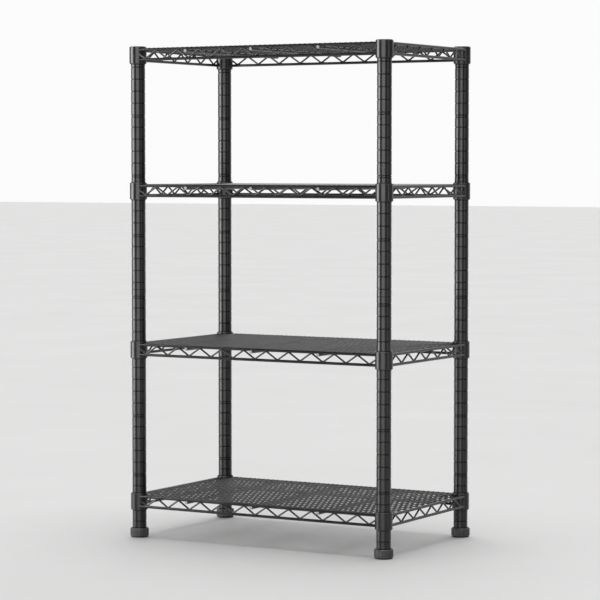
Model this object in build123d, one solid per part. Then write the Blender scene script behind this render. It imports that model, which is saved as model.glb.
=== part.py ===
from build123d import *
import math
import os

# A four-tier wire shelving rack on four grooved posts.
# Millimetres, +Z up, long side along X, front towards -Y, origin on the floor at the centre.

# ---- layout ----
POST_SPACING_X = 595.4
POST_SPACING_Y = 347.2
SHELF_HEIGHTS = [59.5, 385.2, 724.0, 1012.3]    # underside of each shelf's corner collars
CORNERS = {
    "front_left": (-1, -1),
    "front_right": (1, -1),
    "back_left": (-1, 1),
    "back_right": (1, 1),
}

# ---- posts: two tubes, one above the other, with ring grooves one inch apart ----
POST_OD = 30.0
POST_WALL = 1.6
POST_BOTTOM = 20.0
SECTION_LENGTH = 512.0
GROOVE_PITCH = 25.4
GROOVES_PER_SECTION = 20
FIRST_GROOVE = 15.1
MARKER_EVERY = 5            # every fifth groove has a second one below it, as a height marker
MARKER_OFFSET = 4.4
GROOVE_WIDTH = 2.4
GROOVE_FLOOR = 1.6
GROOVE_DEPTH = 0.8
END_CHAMFER = 0.5
INSERT_LENGTH = 24.9        # plugs in the tube ends, with a thread for a stud
STUD_D = 10.0
COUPLER_STUD_LENGTH = 40.0

# ---- post caps, as wide as the posts ----
CAP_RIM = 1.6
CAP_RISE = 4.8
CAP_PLUG_LENGTH = 12.0

# ---- levelling feet ----
FOOT_OD = 39.5
FOOT_TOP_CHAMFER = 1.8
FOOT_LOWER_CHAMFER = 0.9
FOOT_FLUTES = 16
FLUTE_RADIUS = 3.0
FLUTE_DEPTH = 0.8
PAD_OD = 36.0
PAD_THICKNESS = 2.5
PAD_HUB_OD = 14.0
PAD_HUB_RISE = 3.5
FOOT_STUD_TOP = 52.0
THREAD_PITCH = 1.5
THREAD_DEPTH = 0.6
THREAD_CLEARANCE = 0.05
BODY_GAP = 0.3              # between pieces that move past each other

# ---- corner collars on split tapered sleeves ----
COLLAR_OD = 36.6
COLLAR_HEIGHT = 35.0
COLLAR_BORE_TOP = 33.0
COLLAR_BORE_BOTTOM = 34.2
COLLAR_CHAMFER = 0.6
SLEEVE_OVERHANG = 1.0       # the sleeve is a little taller than the collar at both ends
SLEEVE_SPLIT_ANGLE = 8.0
SLEEVE_BORE = 30.1
RIB_HEIGHT = 1.1
RIB_BORE = 29.1
RIB_MARGIN = 4.0            # least distance from the rib to either end of the collar

# ---- shelf wires ----
RAIL_D = 6.0
SNAKE_D = 3.8
LONG_D = 3.0
CROSS_D = 2.4
BAR_D = 7.0
BAR_CHAMFER = 0.5
RAIL_OFFSET = 12.3          # from the line of the posts out to the rails
BOTTOM_RAIL_Z = 7.8         # heights above the underside of the collar
TOP_RAIL_Z = 28.8
SNAKE_PERIODS_X = 11
SNAKE_PERIODS_Y = 6.5
SNAKE_BEND = 5.0
LONG_GAPS = 14              # spaces between lengthwise wires, from rail to rail
CROSS_GAPS = 50             # spaces between cross wires, from post line to post line
CROSS_REACH = 0.75          # how far the cross wires run past the centre of the long rails
BAR_POSITIONS = [-168.8, -8.4, 152.0]

# ---- how far welded pieces sink into each other ----
WIRE_SINK = 0.2             # deck wires where they cross, and lengthwise wires in the short rails
RAIL_SINK = 1.8             # cross wires and support bars in the long rails
SNAKE_SINK = 2.4            # zigzag wires in the rails
COLLAR_SINK = 0.3           # every wire in the corner collars

POST_X = POST_SPACING_X / 2
POST_Y = POST_SPACING_Y / 2
RAIL_X = POST_X + RAIL_OFFSET
RAIL_Y = POST_Y + RAIL_OFFSET
SEAM_Z = POST_BOTTOM + SECTION_LENGTH
POST_TOP = SEAM_Z + SECTION_LENGTH
TUBE_BORE = POST_OD - 2 * POST_WALL
FOOT_BOTTOM = PAD_THICKNESS + BODY_GAP
FOOT_TOP = POST_BOTTOM - BODY_GAP
RECESS_TOP = PAD_THICKNESS + PAD_HUB_RISE + BODY_GAP
CROSS_Z = TOP_RAIL_Z + (RAIL_D + CROSS_D) / 2 - RAIL_SINK
LONG_Z = CROSS_Z - (CROSS_D + LONG_D) / 2 + WIRE_SINK
BAR_Z = TOP_RAIL_Z - (RAIL_D + BAR_D) / 2 + RAIL_SINK


# ---- helpers ----
def turned(points):
    """A solid of revolution about Z from (radius, height) points."""
    return revolve(Plane.XZ * make_face(Polyline(*points, close=True)), Axis.Z)


def ring(outer_d, inner_d, low, high):
    """A plain round ring or plug between two heights."""
    body = Pos(0, 0, low) * extrude(Circle(outer_d / 2), high - low)
    return body - Pos(0, 0, low) * extrude(Circle(inner_d / 2), high - low)


def rod(start, end, diameter):
    """A straight round wire between two points."""
    run = Vector(*end) - Vector(*start)
    return Solid.make_cylinder(diameter / 2, run.length, Plane(origin=start, z_dir=run))


def at_posts(shape):
    """The same shape on the centre line of every post."""
    return [Pos(sx * POST_X, sy * POST_Y, 0) * shape for sx, sy in CORNERS.values()]


def trimmed(wire):
    """A wire cut back to where it is welded to the outside of the collars."""
    cutter = extrude(Circle(COLLAR_OD / 2 - COLLAR_SINK), COLLAR_HEIGHT)
    for corner in at_posts(cutter):
        wire = wire - corner
    return wire.solids().sort_by(SortBy.VOLUME)[-1]


# ---- posts ----
def groove_heights():
    """Ring grooves, measured from the lower end of one post section."""
    heights = []
    for n in range(GROOVES_PER_SECTION):
        height = FIRST_GROOVE + n * GROOVE_PITCH
        if (n + 1) % MARKER_EVERY == 0:
            heights.append(height - MARKER_OFFSET)
        heights.append(height)
    return heights


def post_section():
    """One grooved tube, standing on z = 0, with a small chamfer at each end."""
    outer, inner = POST_OD / 2, TUBE_BORE / 2
    points = [(inner, 0), (outer - END_CHAMFER, 0), (outer, END_CHAMFER)]
    for height in groove_heights():
        points.append((outer, height - GROOVE_WIDTH / 2))
        points.append((outer - GROOVE_DEPTH, height - GROOVE_FLOOR / 2))
        points.append((outer - GROOVE_DEPTH, height + GROOVE_FLOOR / 2))
        points.append((outer, height + GROOVE_WIDTH / 2))
    points.append((outer, SECTION_LENGTH - END_CHAMFER))
    points.append((outer - END_CHAMFER, SECTION_LENGTH))
    points.append((inner, SECTION_LENGTH))
    return turned(points)


def coupler_inserts():
    """The threaded plugs either side of the joint between the two sections of each post."""
    lower = ring(TUBE_BORE, STUD_D, SEAM_Z - INSERT_LENGTH, SEAM_Z)
    upper = ring(TUBE_BORE, STUD_D, SEAM_Z, SEAM_Z + INSERT_LENGTH)
    return at_posts(lower) + at_posts(upper)


def coupler_stud():
    """The plain stud that draws the two sections together."""
    half = COUPLER_STUD_LENGTH / 2
    return Pos(0, 0, SEAM_Z - half) * extrude(Circle(STUD_D / 2), COUPLER_STUD_LENGTH)


def post_cap():
    """A shallow domed cap with a plug that fits in the tube."""
    plug = Pos(0, 0, POST_TOP - CAP_PLUG_LENGTH) * extrude(Circle(TUBE_BORE / 2), CAP_PLUG_LENGTH)
    head = Pos(0, 0, POST_TOP) * extrude(Circle(POST_OD / 2), CAP_RISE)
    crown = CAP_RISE - CAP_RIM
    dome_radius = ((POST_OD / 2) ** 2 + crown**2) / (2 * crown)
    dome = Pos(0, 0, POST_TOP + CAP_RISE - dome_radius) * Sphere(dome_radius)
    return plug + (head & dome)


# ---- levelling feet ----
def foot_body():
    """The fluted plastic foot, bored for its stud and recessed for the pad's hub."""
    outer = FOOT_OD / 2
    flutes = PolarLocations(outer + FLUTE_RADIUS - FLUTE_DEPTH, FOOT_FLUTES) * Circle(FLUTE_RADIUS)
    body = Pos(0, 0, FOOT_BOTTOM) * extrude(Circle(outer) - flutes, FOOT_TOP - FOOT_BOTTOM)
    envelope = turned([
        (0, FOOT_BOTTOM),
        (outer - FOOT_LOWER_CHAMFER, FOOT_BOTTOM),
        (outer, FOOT_BOTTOM + FOOT_LOWER_CHAMFER),
        (outer, FOOT_TOP - FOOT_TOP_CHAMFER),
        (outer - FOOT_TOP_CHAMFER, FOOT_TOP),
        (0, FOOT_TOP),
    ])
    recess_d = PAD_HUB_OD + 2 * BODY_GAP
    recess = extrude(Circle(recess_d / 2), RECESS_TOP)
    bore = extrude(Circle(STUD_D / 2 - THREAD_CLEARANCE), FOOT_TOP)
    return (body & envelope) - recess - bore


def foot_stud():
    """The foot's threaded stud; the thread is drawn as rings above the foot."""
    crest = STUD_D / 2 - THREAD_CLEARANCE
    points = [(0, RECESS_TOP), (crest, RECESS_TOP)]
    turns = int((FOOT_STUD_TOP - FOOT_TOP) / THREAD_PITCH)
    for n in range(turns):
        low = FOOT_TOP + n * THREAD_PITCH
        points.append((crest, low))
        points.append((crest - THREAD_DEPTH, low + THREAD_PITCH / 2))
    points.append((crest, FOOT_TOP + turns * THREAD_PITCH))
    points.append((crest - THREAD_DEPTH, FOOT_STUD_TOP))
    points.append((0, FOOT_STUD_TOP))
    return turned(points)


def foot_pad():
    """The rubber pad under the foot, with a hub that the foot turns on."""
    disc = extrude(Circle(PAD_OD / 2), PAD_THICKNESS)
    hub = extrude(Circle(PAD_HUB_OD / 2), PAD_THICKNESS + PAD_HUB_RISE)
    return disc + hub


def foot_insert():
    """The threaded plug in the lower end of a post."""
    return ring(TUBE_BORE, STUD_D, POST_BOTTOM, POST_BOTTOM + INSERT_LENGTH)


# ---- corner collars and sleeves ----
def collar():
    """A corner collar with a tapered bore, standing on z = 0."""
    outer = COLLAR_OD / 2
    return turned([
        (COLLAR_BORE_BOTTOM / 2, 0),
        (outer - COLLAR_CHAMFER, 0),
        (outer, COLLAR_CHAMFER),
        (outer, COLLAR_HEIGHT - COLLAR_CHAMFER),
        (outer - COLLAR_CHAMFER, COLLAR_HEIGHT),
        (COLLAR_BORE_TOP / 2, COLLAR_HEIGHT),
    ])


def rib_height(shelf_z):
    """The highest groove that lies well inside the collar, above the collar's underside."""
    grooves = []
    for base in (POST_BOTTOM, SEAM_Z):
        grooves += [base + height - shelf_z for height in groove_heights()]
    return max(g for g in grooves if RIB_MARGIN < g < COLLAR_HEIGHT - RIB_MARGIN)


def half_sleeve(rib_z):
    """Half of a tapered split sleeve with an inner rib that sits in a post groove."""
    taper = (COLLAR_BORE_BOTTOM - COLLAR_BORE_TOP) / 2 / COLLAR_HEIGHT
    low, high = -SLEEVE_OVERHANG, COLLAR_HEIGHT + SLEEVE_OVERHANG
    low_r = COLLAR_BORE_BOTTOM / 2 - BODY_GAP - taper * low
    high_r = COLLAR_BORE_BOTTOM / 2 - BODY_GAP - taper * high
    inner, rib = SLEEVE_BORE / 2, RIB_BORE / 2
    profile = Polyline(
        (low_r, low),
        (high_r, high),
        (inner, high),
        (inner, rib_z + RIB_HEIGHT / 2),
        (rib, rib_z + RIB_HEIGHT / 2),
        (rib, rib_z - RIB_HEIGHT / 2),
        (inner, rib_z - RIB_HEIGHT / 2),
        (inner, low),
        close=True,
    )
    half = revolve(Plane.XZ * make_face(profile), Axis.Z, 180 - SLEEVE_SPLIT_ANGLE)
    return Rot(0, 0, SLEEVE_SPLIT_ANGLE / 2) * half


def sleeves(shelf_z, side):
    """Two half sleeves on each post of one end of the rack; side is -1 for left, 1 for right."""
    half = Pos(0, 0, shelf_z) * half_sleeve(rib_height(shelf_z))
    halves = []
    for sy in (-1, 1):
        post = Pos(side * POST_X, sy * POST_Y, 0)
        halves += [post * half, post * Rot(0, 0, 180) * half]
    return halves


# ---- shelf wires, with z = 0 at the underside of the collars ----
def perimeter_rails(height):
    """Four straight rails, welded to the outside of the collars."""
    rails = []
    for side in (-1, 1):
        rails.append(rod((-POST_X, side * RAIL_Y, height), (POST_X, side * RAIL_Y, height), RAIL_D))
        rails.append(rod((side * RAIL_X, -POST_Y, height), (side * RAIL_X, POST_Y, height), RAIL_D))
    return [trimmed(rail) for rail in rails]


def snake(plane, span, periods, first_is_peak):
    """A zigzag wire between the two rails of one side, from post line to post line."""
    half_period = span / periods / 2
    low = BOTTOM_RAIL_Z + (RAIL_D + SNAKE_D) / 2 - SNAKE_SINK
    high = TOP_RAIL_Z - (RAIL_D + SNAKE_D) / 2 + SNAKE_SINK
    slope = math.atan2(high - low, half_period)
    overshoot = SNAKE_BEND * (1 / math.cos(slope) - 1)     # the bends round off the corners
    points = []
    for n in range(int(2 * periods) + 1):
        is_peak = first_is_peak == (n % 2 == 0)
        height = high + overshoot if is_peak else low - overshoot
        points.append((-span / 2 + n * half_period, height))
    path = plane * FilletPolyline(*points, radius=SNAKE_BEND)
    section = Plane(origin=path @ 0, z_dir=path % 0) * Circle(SNAKE_D / 2)
    return trimmed(sweep(section, path=path))


def snake_wires():
    """Zigzag wires on all four sides."""
    front = Plane(origin=(0, -RAIL_Y, 0), x_dir=(1, 0, 0), z_dir=(0, -1, 0))
    back = Plane(origin=(0, RAIL_Y, 0), x_dir=(1, 0, 0), z_dir=(0, -1, 0))
    left = Plane(origin=(-RAIL_X, 0, 0), x_dir=(0, 1, 0), z_dir=(1, 0, 0))
    right = Plane(origin=(RAIL_X, 0, 0), x_dir=(0, 1, 0), z_dir=(1, 0, 0))
    wires = [snake(plane, POST_SPACING_X, SNAKE_PERIODS_X, True) for plane in (front, back)]
    wires += [snake(plane, POST_SPACING_Y, SNAKE_PERIODS_Y, False) for plane in (left, right)]
    return wires


def long_wires():
    """Lengthwise deck wires, butted to the insides of the short top rails."""
    pitch = 2 * RAIL_Y / LONG_GAPS
    reach = RAIL_X - RAIL_D / 2 + WIRE_SINK
    wires = []
    for n in range(1, LONG_GAPS):
        y = -RAIL_Y + n * pitch
        wires.append(trimmed(rod((-reach, y, LONG_Z), (reach, y, LONG_Z), LONG_D)))
    return wires


def cross_wires():
    """Close-set front-to-back deck wires, laid over the lengthwise wires and the long top rails."""
    pitch = POST_SPACING_X / CROSS_GAPS
    reach = RAIL_Y + CROSS_REACH
    wires = []
    for n in range(CROSS_GAPS + 1):
        x = -POST_X + n * pitch
        wires.append(trimmed(rod((x, -reach, CROSS_Z), (x, reach, CROSS_Z), CROSS_D)))
    return wires


def support_bars():
    """Heavier front-to-back bars under the deck, flush with the outer faces of the long rails."""
    reach = RAIL_Y + RAIL_D / 2
    bars = [rod((x, -reach, BAR_Z), (x, reach, BAR_Z), BAR_D) for x in BAR_POSITIONS]
    return [chamfer(bar.edges().filter_by(GeomType.CIRCLE), BAR_CHAMFER) for bar in bars]


# ---- write one file for each named piece or group of identical pieces ----
def write(name, solids):
    export_step(Compound(label=name, children=list(solids)), f"parts/{name}.step")


def main():
    os.makedirs("parts", exist_ok=True)
    section = post_section()
    for name, (sx, sy) in CORNERS.items():
        post = Pos(sx * POST_X, sy * POST_Y, 0)
        write(f"post_lower_{name}", [post * Pos(0, 0, POST_BOTTOM) * section])
        write(f"post_upper_{name}", [post * Pos(0, 0, SEAM_Z) * section])
        write(f"post_cap_{name}", [post * post_cap()])
        write(f"foot_{name}", [post * foot_body()])
        write(f"foot_stud_{name}", [post * foot_stud()])
        write(f"foot_pad_{name}", [post * foot_pad()])
    write("post_coupler_inserts", coupler_inserts())
    write("post_coupler_studs", at_posts(coupler_stud()))
    write("foot_inserts", at_posts(foot_insert()))

    shelf = {
        "collars": at_posts(collar()),
        "rails": perimeter_rails(BOTTOM_RAIL_Z) + perimeter_rails(TOP_RAIL_Z),
        "snake_wires": snake_wires(),
        "long_wires": long_wires(),
        "cross_wires": cross_wires(),
        "support_bars": support_bars(),
    }
    for tier, shelf_z in enumerate(SHELF_HEIGHTS, start=1):
        write(f"shelf{tier}_sleeves_left", sleeves(shelf_z, -1))
        write(f"shelf{tier}_sleeves_right", sleeves(shelf_z, 1))
        for piece, solids in shelf.items():
            write(f"shelf{tier}_{piece}", [Pos(0, 0, shelf_z) * solid for solid in solids])


main()
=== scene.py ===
import bpy
import math
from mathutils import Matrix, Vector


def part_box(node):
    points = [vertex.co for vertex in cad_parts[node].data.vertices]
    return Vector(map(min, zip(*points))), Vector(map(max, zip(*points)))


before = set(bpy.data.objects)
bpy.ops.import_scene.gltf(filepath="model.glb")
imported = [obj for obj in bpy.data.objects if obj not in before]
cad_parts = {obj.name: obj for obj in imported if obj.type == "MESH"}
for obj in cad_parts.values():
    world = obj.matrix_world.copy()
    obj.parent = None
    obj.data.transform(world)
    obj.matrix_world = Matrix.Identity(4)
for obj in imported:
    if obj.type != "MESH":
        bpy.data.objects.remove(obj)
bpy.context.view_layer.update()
scene = bpy.context.scene


# ---- camera ----
CAMERA_PLACE = (2.6829, -4.5943, 0.7947)
CAMERA_AZIMUTH = 30.284
CAMERA_PITCH = 3.076
CAMERA_LENS = 149.54
SENSOR_WIDTH = 36


def make_camera():
    """A long lens at table height, looking a little down on the front right corner."""
    data = bpy.data.cameras.new("camera")
    data.sensor_width = SENSOR_WIDTH
    data.lens = CAMERA_LENS
    camera = bpy.data.objects.new("camera", data)
    camera.location = CAMERA_PLACE
    tilt = math.radians(90 - CAMERA_PITCH)
    camera.rotation_euler = (tilt, 0, math.radians(CAMERA_AZIMUTH))
    scene.collection.objects.link(camera)
    scene.camera = camera


# ---- shader nodes ----
# Sockets of a Mix node that mixes colours
MIX_FACTOR, MIX_FIRST, MIX_SECOND, MIX_RESULT = 0, 6, 7, 2


def noise(tree, place, scale, detail):
    """A cloudy pattern from 0 to 1."""
    node = tree.nodes.new("ShaderNodeTexNoise")
    node.inputs["Scale"].default_value = scale
    node.inputs["Detail"].default_value = detail
    tree.links.new(place, node.inputs["Vector"])
    return node.outputs["Fac"]


def ramp(tree, factor, band, values):
    """Goes from the first value to the second across a band of the factor; values are greys or colours."""
    node = tree.nodes.new("ShaderNodeValToRGB")
    for element, position, value in zip(node.color_ramp.elements, band, values):
        element.position = position
        element.color = (*value, 1) if isinstance(value, tuple) else (value, value, value, 1)
    tree.links.new(factor, node.inputs["Fac"])
    return node.outputs["Color"]


def mix(tree, factor, first, second):
    """The first colour, from a socket, where the factor is 0; the second, a fixed one, where it is 1."""
    node = tree.nodes.new("ShaderNodeMix")
    node.data_type = "RGBA"
    tree.links.new(factor, node.inputs[MIX_FACTOR])
    tree.links.new(first, node.inputs[MIX_FIRST])
    node.inputs[MIX_SECOND].default_value = (*second, 1)
    return node.outputs[MIX_RESULT]


def operate(tree, kind, operation, *values):
    """The value of a Math or Vector Math node; each input is a socket or a fixed value."""
    node = tree.nodes.new(kind)
    node.operation = operation
    for socket, value in zip(node.inputs, values):
        if isinstance(value, bpy.types.NodeSocket):
            tree.links.new(value, socket)
        else:
            socket.default_value = value
    return node.outputs["Value"]


# ---- surface effects ----
BEVEL_SAMPLES = 4
EDGE_BAND = (0.86, 0.985)
SCUFF_SCALE = 45.0
SCUFF_DETAIL = 5.0
SCUFF_BAND = (0.42, 0.62)
SCUFF_STRENGTH = 0.8

OCCLUSION_SAMPLES = 6
# Painted shade in recesses: the band of openness over which it fades out, and its share of the darkest tone
RECESS_SHADE_BAND = (0.6, 0.95)
RECESS_SHADE_LEVEL = 0.25
SHINE_BAND = (0.7, 0.97)
OPEN_SHINE = 0.55

CLOUD_DETAIL = 4.0
CLOUD_BAND = (0.32, 0.68)
PATCHES_PER_CLOUD = 2.5
PATCH_DETAIL = 5.0
PATCH_BAND = (0.3, 0.7)
GRAIN_DETAIL = 2.0
GRAIN_STRENGTH = 0.5


def wear_edges(tree, place, colour, radius, worn_colour):
    """The worn colour on sharp edges, broken up by scuffs."""
    bevel = tree.nodes.new("ShaderNodeBevel")
    bevel.samples = BEVEL_SAMPLES
    bevel.inputs["Radius"].default_value = radius
    true_normal = tree.nodes.new("ShaderNodeNewGeometry").outputs["Normal"]
    agreement = operate(tree, "ShaderNodeVectorMath", "DOT_PRODUCT", bevel.outputs["Normal"], true_normal)
    edge = ramp(tree, agreement, EDGE_BAND, (1.0, 0.0))
    scuffs = ramp(tree, noise(tree, place, SCUFF_SCALE, SCUFF_DETAIL), SCUFF_BAND, (0.0, SCUFF_STRENGTH))
    worn = operate(tree, "ShaderNodeMath", "MULTIPLY", edge, scuffs)
    return mix(tree, worn, colour, worn_colour)


def shade_and_dull_recesses(tree, shader, colour, depth, base_colour):
    """Painted shade: a darker colour in grooves and flutes as deep as depth, and no shine there."""
    hollow = tree.nodes.new("ShaderNodeAmbientOcclusion")
    hollow.samples = OCCLUSION_SAMPLES
    hollow.inputs["Distance"].default_value = depth
    openness = hollow.outputs["AO"]
    tree.links.new(ramp(tree, openness, SHINE_BAND, (0.0, OPEN_SHINE)), shader.inputs["Specular IOR Level"])
    painted_shade = ramp(tree, openness, RECESS_SHADE_BAND, (1.0, 0.0))
    return mix(tree, painted_shade, colour, [RECESS_SHADE_LEVEL * value for value in base_colour])


def pale_ends(tree, place, colour, end):
    """A paler grey wherever the object reaches further than end along Y, on either side."""
    split = tree.nodes.new("ShaderNodeSeparateXYZ")
    tree.links.new(place, split.inputs["Vector"])
    reach = operate(tree, "ShaderNodeMath", "ABSOLUTE", split.outputs["Y"])
    return mix(tree, operate(tree, "ShaderNodeMath", "GREATER_THAN", reach, end), colour, END_GREY)


def surface(name, colours, rough, cloud_scale, grain_scale, grain_depth, wear=None, upright=False,
            recess_depth=None, pale_past=None, **sockets):
    """A coloured surface with cloudy tone, patchy roughness and fine grain.

    Wear is an edge radius and the colour of worn edges. Recesses down to recess_depth get painted shade and
    lose their shine, and ends that reach past the given point along Y are a paler grey. An upright surface
    stretches its highlights vertically, by its Anisotropic value. Other sockets are named with underscores
    for spaces.
    """
    material = bpy.data.materials.new(name)
    material.use_nodes = True
    tree = material.node_tree
    shader = tree.nodes["Principled BSDF"]
    place = tree.nodes.new("ShaderNodeTexCoord").outputs["Object"]
    colour = ramp(tree, noise(tree, place, cloud_scale, CLOUD_DETAIL), CLOUD_BAND, colours)
    if wear:
        colour = wear_edges(tree, place, colour, *wear)
    # Painted shade and lost shine in grooves and flutes
    if recess_depth:
        colour = shade_and_dull_recesses(tree, shader, colour, recess_depth, colours[0])
    if pale_past:
        colour = pale_ends(tree, place, colour, pale_past)
    tree.links.new(colour, shader.inputs["Base Color"])
    patches = noise(tree, place, cloud_scale * PATCHES_PER_CLOUD, PATCH_DETAIL)
    tree.links.new(ramp(tree, patches, PATCH_BAND, rough), shader.inputs["Roughness"])
    grain = tree.nodes.new("ShaderNodeBump")
    grain.inputs["Strength"].default_value = GRAIN_STRENGTH
    grain.inputs["Distance"].default_value = grain_depth
    tree.links.new(noise(tree, place, grain_scale, GRAIN_DETAIL), grain.inputs["Height"])
    tree.links.new(grain.outputs["Normal"], shader.inputs["Normal"])
    if upright:
        up = tree.nodes.new("ShaderNodeCombineXYZ")
        up.inputs["Z"].default_value = 1.0
        tree.links.new(up.outputs["Vector"], shader.inputs["Tangent"])
    for socket, value in sockets.items():
        shader.inputs[socket.replace("_", " ")].default_value = value
    return material


# ---- materials ----
WIRE_BLACKS = ((0.004, 0.004, 0.005), (0.009, 0.009, 0.010))
TUBE_BLACKS = ((0.004, 0.004, 0.005), (0.008, 0.008, 0.009))
# The paler grey painted on the bar ends
END_GREY = (0.27, 0.27, 0.275)
COAT_GRAIN_DEPTH = 0.000005
WORN_RADIUS = 0.0006
BAR_CHAMFER = 0.0005
BAR_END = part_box("shelf1_support_bars")[1][1]
# Name, darkest and palest tone, roughness range, cloud scale, grain scale, grain depth, then extras
MATERIALS = {
    "bar": surface("bar_coat", WIRE_BLACKS, (0.2, 0.32), 16.0, 200.0, COAT_GRAIN_DEPTH,
                   pale_past=BAR_END - BAR_CHAMFER, Specular_IOR_Level=0.6),
    "post": surface("post_coat", TUBE_BLACKS, (0.24, 0.32), 9.0, 120.0, COAT_GRAIN_DEPTH, upright=True,
                    wear=(WORN_RADIUS, (0.05, 0.05, 0.052)), recess_depth=0.0024, Anisotropic=0.85),
    "wire": surface("wire_coat", WIRE_BLACKS, (0.15, 0.25), 16.0, 200.0, COAT_GRAIN_DEPTH,
                    Specular_IOR_Level=0.8),
    "rail": surface("rail_coat", WIRE_BLACKS, (0.14, 0.24), 12.0, 200.0, COAT_GRAIN_DEPTH,
                    Specular_IOR_Level=0.6),
    "collar": surface("collar_coat", TUBE_BLACKS, (0.24, 0.32), 20.0, 150.0, COAT_GRAIN_DEPTH, upright=True,
                      wear=(0.0008, (0.06, 0.06, 0.062)), Anisotropic=0.8, Specular_IOR_Level=0.55),
    "plastic": surface("black_plastic", ((0.010, 0.010, 0.011), (0.018, 0.018, 0.019)), (0.32, 0.46),
                       30.0, 700.0, 0.00003, wear=(WORN_RADIUS, (0.05, 0.05, 0.05))),
    "foot": surface("foot_plastic", ((0.020, 0.020, 0.021), (0.055, 0.055, 0.057)), (0.34, 0.54),
                    90.0, 420.0, 0.00008, wear=(WORN_RADIUS, (0.12, 0.12, 0.124)), recess_depth=0.003),
    "pad": surface("pad_rubber", ((0.012, 0.012, 0.012), (0.026, 0.026, 0.025)), (0.7, 0.9),
                   60.0, 900.0, 0.00008, wear=(WORN_RADIUS, (0.06, 0.06, 0.058))),
    "zinc": surface("zinc_steel", ((0.48, 0.49, 0.50), (0.62, 0.62, 0.61)), (0.26, 0.42),
                    80.0, 600.0, 0.00002, wear=(0.0005, (0.75, 0.75, 0.74)), Metallic=1.0),
}

# The first word that a node's name holds gives its material.
MATERIAL_WORDS = {
    "collars": "collar", "rails": "rail", "bars": "bar", "sleeves": "plastic", "cap": "plastic",
    "pad": "pad", "stud": "zinc", "insert": "zinc", "foot": "foot", "shelf": "wire", "post": "post",
}
ROUND_WIRE_ANGLE = 75
SHARP_EDGE_ANGLE = 30


def paint(name, data):
    """Give a node's mesh its material, and shade it smooth across edges gentler than its angle."""
    data.materials.clear()
    data.materials.append(next(MATERIALS[kind] for word, kind in MATERIAL_WORDS.items() if word in name))
    for polygon in data.polygons:
        polygon.material_index = 0
        polygon.use_smooth = True
    angle = ROUND_WIRE_ANGLE if "wires" in name or "rails" in name else SHARP_EDGE_ANGLE
    data.set_sharp_from_angle(angle=math.radians(angle))


# ---- floor, lights and sky ----
FLOOR_REACH = 40.0
LAMP_DISTANCE = 3.0
LAMP_MIDDLE = 1.2
LAMP_HEIGHT = 2.4
BACKDROP_DIRECTION = (-0.31, 0.85, 0.42)
BACKDROP_BAND = (0.52, 0.82)


def make_floor():
    """A pale floor that runs on well past the rack."""
    mesh = bpy.data.meshes.new("floor")
    corners = [(-1, -1), (1, -1), (1, 1), (-1, 1)]
    mesh.from_pydata([(FLOOR_REACH * x, FLOOR_REACH * y, 0) for x, y in corners], [], [(0, 1, 2, 3)])
    floor = bpy.data.objects.new("floor", mesh)
    scene.collection.objects.link(floor)
    mesh.materials.append(surface("floor_paint", ((0.755, 0.755, 0.75), (0.785, 0.785, 0.78)), (0.6, 0.8),
                                  1.5, 60.0, 0.0002))


def strip_light(name, azimuth, width, power):
    """An upright area light that faces the rack and lights it alone.

    Its azimuth is counted anticlockwise from the front, as seen from above.
    """
    data = bpy.data.lights.new(name, "AREA")
    data.shape = "RECTANGLE"
    data.size, data.size_y = width, LAMP_HEIGHT
    data.energy = power
    light = bpy.data.objects.new(name, data)
    angle = math.radians(azimuth)
    light.location = (LAMP_DISTANCE * math.sin(angle), -LAMP_DISTANCE * math.cos(angle), LAMP_MIDDLE)
    light.rotation_euler = (math.radians(90), 0, angle)
    light.visible_camera = False
    light.light_linking.receiver_collection = rack_only
    scene.collection.objects.link(light)


def overhead_light(strength, spread):
    """Soft, even light from straight above, on the rack and the whole floor."""
    data = bpy.data.lights.new("overhead", "SUN")
    data.energy = strength
    data.angle = math.radians(spread)
    scene.collection.objects.link(bpy.data.objects.new("overhead", data))


def make_sky(front, back):
    """A studio that is dim on the camera's side and bright behind and above the rack."""
    world = bpy.data.worlds.new("studio")
    world.use_nodes = True
    tree = world.node_tree
    direction = tree.nodes.new("ShaderNodeTexCoord").outputs["Generated"]
    facing = operate(tree, "ShaderNodeVectorMath", "DOT_PRODUCT", direction, BACKDROP_DIRECTION)
    glow = ramp(tree, facing, BACKDROP_BAND, (front, back))
    tree.links.new(glow, tree.nodes["Background"].inputs["Color"])
    scene.world = world


make_camera()
rack_only = bpy.data.collections.new("rack_only")
for name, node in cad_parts.items():
    paint(name, node.data)
    rack_only.objects.link(node)
make_floor()
strip_light("key", azimuth=-57, width=1.85, power=105)
strip_light("front_fill", azimuth=18, width=2.5, power=56)
strip_light("side_fill", azimuth=82, width=0.7, power=6)
overhead_light(strength=2.1, spread=50)
make_sky(front=0.06, back=0.97)
scene.view_settings.view_transform = "Standard"
